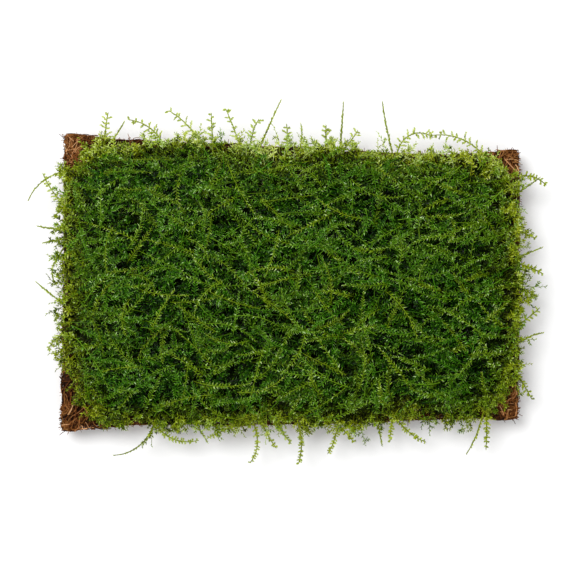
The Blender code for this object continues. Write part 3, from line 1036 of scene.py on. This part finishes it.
# A share of the corner fibres painted paler, as painted highlights
PAINTED_HIGHLIGHT_SHARE = 0.15
PAINTED_HIGHLIGHT_PALER = 0.22


def build_corner_fibres(surface):
    """Fibres on the corners of the pad's top that the moss leaves bare, the upper ones painted
    paler and the lower ones darker, as painted light and shade.
    """
    rng = np.random.default_rng(311)
    count = CORNER_FIBRES
    corners = PAD_EDGE[[np.argmax(PAD_EDGE @ way) for way in CORNER_WAYS]]
    which = rng.choice(4, count, p=CORNER_SHARES)
    inward = np.abs(rng.normal(0, 1, (count, 2))) * CORNER_SPREAD
    x, y = (corners[which] - np.sign(corners[which]) * (inward - 0.1)).T
    layer = rng.uniform(0, 1, count)
    # Painted shade: the lower layers darker, the upper ones paler
    tone = 0.06 + 0.56 * layer + rng.normal(0, 0.20, count)
    # Painted highlights on a share of the fibres
    tone = tone + PAINTED_HIGHLIGHT_PALER * (rng.random(count) < PAINTED_HIGHLIGHT_SHARE)
    build_flat_fibres(
        "coir_corner_fibres", surface, 312, x, y,
        z=PAD_TOP - 0.2 + 0.9 * layer,
        way=rng.normal(1.05, 0.75, count),
        length=rng.uniform(1.4, 4.4, count),
        thick=rng.uniform(0.13, 0.25, count),
        tone=np.clip(tone, 0.03, 0.97),
    )


def build_underside_fibres(surface):
    rng = np.random.default_rng(321)
    count = UNDERSIDE_FIBRES
    low, high = PAD_EDGE.min(axis=0), PAD_EDGE.max(axis=0)
    x, y = (low + (high - low) * rng.uniform(0.03, 0.97, (count, 2))).T
    layer = rng.uniform(0, 1, count)
    # The higher fibres, tucked against the felt, are painted darker, as painted shade
    tone = np.clip(0.62 - 0.4 * layer + rng.normal(0, 0.12, count), 0.1, 0.95)
    build_flat_fibres(
        "coir_underside_fibres", surface, 322, x, y,
        z=0.22 + 0.14 * layer,
        way=rng.uniform(0, 2 * np.pi, count),
        length=rng.uniform(9, 22, count),
        thick=rng.uniform(0.11, 0.21, count),
        tone=tone,
    )


LONG_STRAY_SHARE = 0.08
LONG_STRAY = 1.6  # times as long as the others


def build_stray_fibres(surface):
    """Fibre ends that stand out of the pad's cut sides and over its rim."""
    rng = np.random.default_rng(341)
    count = STRAY_FIBRES
    place, outward = walk(PAD_EDGE, rng.uniform(0, 1, count))
    height = PAD_TOP + 0.35 - np.abs(rng.normal(0, 2.6, count))
    height = np.where(height < 0.4, rng.uniform(0.5, PAD_TOP, count), height)
    length = rng.uniform(1.4, 3.2, count)
    length = length * np.where(rng.random(count) < LONG_STRAY_SHARE, LONG_STRAY, 1.0)
    start = np.column_stack([place - outward * (length * 0.6)[:, None], height])
    angle = np.arctan2(outward[:, 1], outward[:, 0]) + rng.normal(0, 0.9, count)
    strands = draw_strands(
        start, level_heading(angle), upward(count), length, rng.normal(0, 0.9, count),
        rng.normal(0.1, 0.2, count), rng.normal(0, 0.3, count), steps=3,
    )
    strands.points[..., 2] = np.maximum(strands.points[..., 2], 0.25)
    cluster = Cluster()
    thick = rng.uniform(0.09, 0.17, count)
    tone = np.clip(rng.normal(0.48, 0.16, count), 0.1, 0.95)
    add_fibres(cluster, rng, strands, thick, tone)
    for x, y, z, way, length, bend, radius, tone in LOOSE_FIBRES:
        strand = draw_strands(
            np.array([(x, y, z)]), level_heading(np.radians([way])), UP[None],
            np.array([length]), np.radians([bend]), np.array([0.2]), np.array([-0.05]), steps=6,
        )
        add_tubes(
            cluster, strand, np.array([radius]), np.array([radius * 0.7]), np.array([tone]),
            np.array([0.8]), sides=5,
        )
    cluster.build("coir_stray_fibres", surface, "coir_pad")


FELT_GRAIN = 1.1  # millimetres between the points of the felt's skin
FELT_SUNK = 0.28  # millimetres that it lies inside the CAD pad, at least


def build_felt(surface):
    """The body of the felt, a little inside the fibres, as a rough skin on the CAD pad."""
    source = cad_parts["coir_pad"]
    copy = bpy.data.objects.new("felt_source", source.data.copy())
    bpy.context.scene.collection.objects.link(copy)
    remesh = copy.modifiers.new("Remesh", "REMESH")
    remesh.mode = "VOXEL"
    remesh.voxel_size = FELT_GRAIN * MM
    graph = bpy.context.evaluated_depsgraph_get()
    evaluated = copy.evaluated_get(graph)
    mesh = bpy.data.meshes.new_from_object(evaluated, depsgraph=graph)
    bpy.data.objects.remove(copy, do_unlink=True)
    points = np.array([v.co[:] for v in mesh.vertices]) / MM
    normals = np.array([v.normal[:] for v in mesh.vertices])
    rng = np.random.default_rng(331)
    count = len(points)
    points = points - normals * (FELT_SUNK + np.abs(rng.normal(0, 0.14, count)))[:, None]
    points[:, 2] = np.maximum(points[:, 2], 0.3)
    faces = np.array([tuple(p.vertices) for p in mesh.polygons if len(p.vertices) == 4])
    bpy.data.meshes.remove(mesh)
    cluster = Cluster()
    # Dark, as painted shade in the gaps between the fibres
    tone = 0.17 + rng.uniform(-0.10, 0.12, count)
    cluster.add(points, faces, tone, rng.uniform(0.2, 0.8, count))
    cluster.build("coir_felt", surface, "coir_pad")


def build_mat():
    moss = moss_material("moss", roughness=0.38, specular=0.10)
    thatch_and_shade_surface = moss_material("moss_thatch_and_shade", roughness=0.95, specular=0.02)
    coir = coir_material()
    build_felt(coir)
    build_edge_fibres(coir)
    build_corner_fibres(coir)
    build_underside_fibres(coir)
    build_stray_fibres(coir)
    build_thatch_and_shade(thatch_and_shade_surface)
    build_fronds(moss)
    for layer in LAYERS:
        build_layer(moss, *layer)
    build_runners(moss)
    build_fringe(moss)
    build_trailing_shoots(moss)


# ---- floor, light and camera


FLOOR_HALF = 3.0  # metres from the middle of the floor to its sides


def build_stage():
    mesh = bpy.data.meshes.new("floor")
    corners = ((-1, -1, 0), (1, -1, 0), (1, 1, 0), (-1, 1, 0))
    mesh.from_pydata([Vector(corner) * FLOOR_HALF for corner in corners], [], [(0, 1, 2, 3)])
    floor = bpy.data.objects.new("floor", mesh)
    bpy.context.scene.collection.objects.link(floor)
    paper, _, shader = new_material("floor", roughness=0.9, specular=0.1)
    shader.inputs["Base Color"].default_value = (0.96, 0.96, 0.96, 1)
    mesh.materials.append(paper)


def add_softbox(name, energy, size, location):
    """A round lamp of that diameter that faces the mat."""
    data = bpy.data.lights.new(name, "AREA")
    data.shape = "DISK"
    data.energy = energy
    data.size = size
    light = bpy.data.objects.new(name, data)
    light.location = location
    light.rotation_euler = (-Vector(location)).to_track_quat("-Z", "Y").to_euler()
    bpy.context.scene.collection.objects.link(light)
    return light


def build_lights():
    """A soft key from the upper left, a small lamp for the glints and an even studio."""
    add_softbox("key", energy=9.0, size=0.65, location=(-0.42, 0.40, 1.0))
    glints = add_softbox("glints", energy=1.6, size=0.12, location=(-0.25, 0.35, 1.0))
    glints.visible_diffuse = False
    world = bpy.data.worlds.new("studio")
    bpy.context.scene.world = world
    world.cycles_visibility.glossy = False
    world.use_nodes = True
    background = world.node_tree.nodes["Background"]
    background.inputs["Color"].default_value = (1, 1, 1, 1)
    background.inputs["Strength"].default_value = 0.72


def build_camera():
    """Straight above the mat, and looking down."""
    data = bpy.data.cameras.new("camera")
    data.sensor_width = 36
    data.lens = 100
    data.clip_start = 0.01
    data.clip_end = 20
    camera = bpy.data.objects.new("camera", data)
    camera.location = (-0.0008, -0.0011, 0.457)
    bpy.context.scene.collection.objects.link(camera)
    bpy.context.scene.camera = camera


build_camera()
build_lights()
build_stage()
build_mat()

bpy.context.scene.view_settings.view_transform = "Standard"
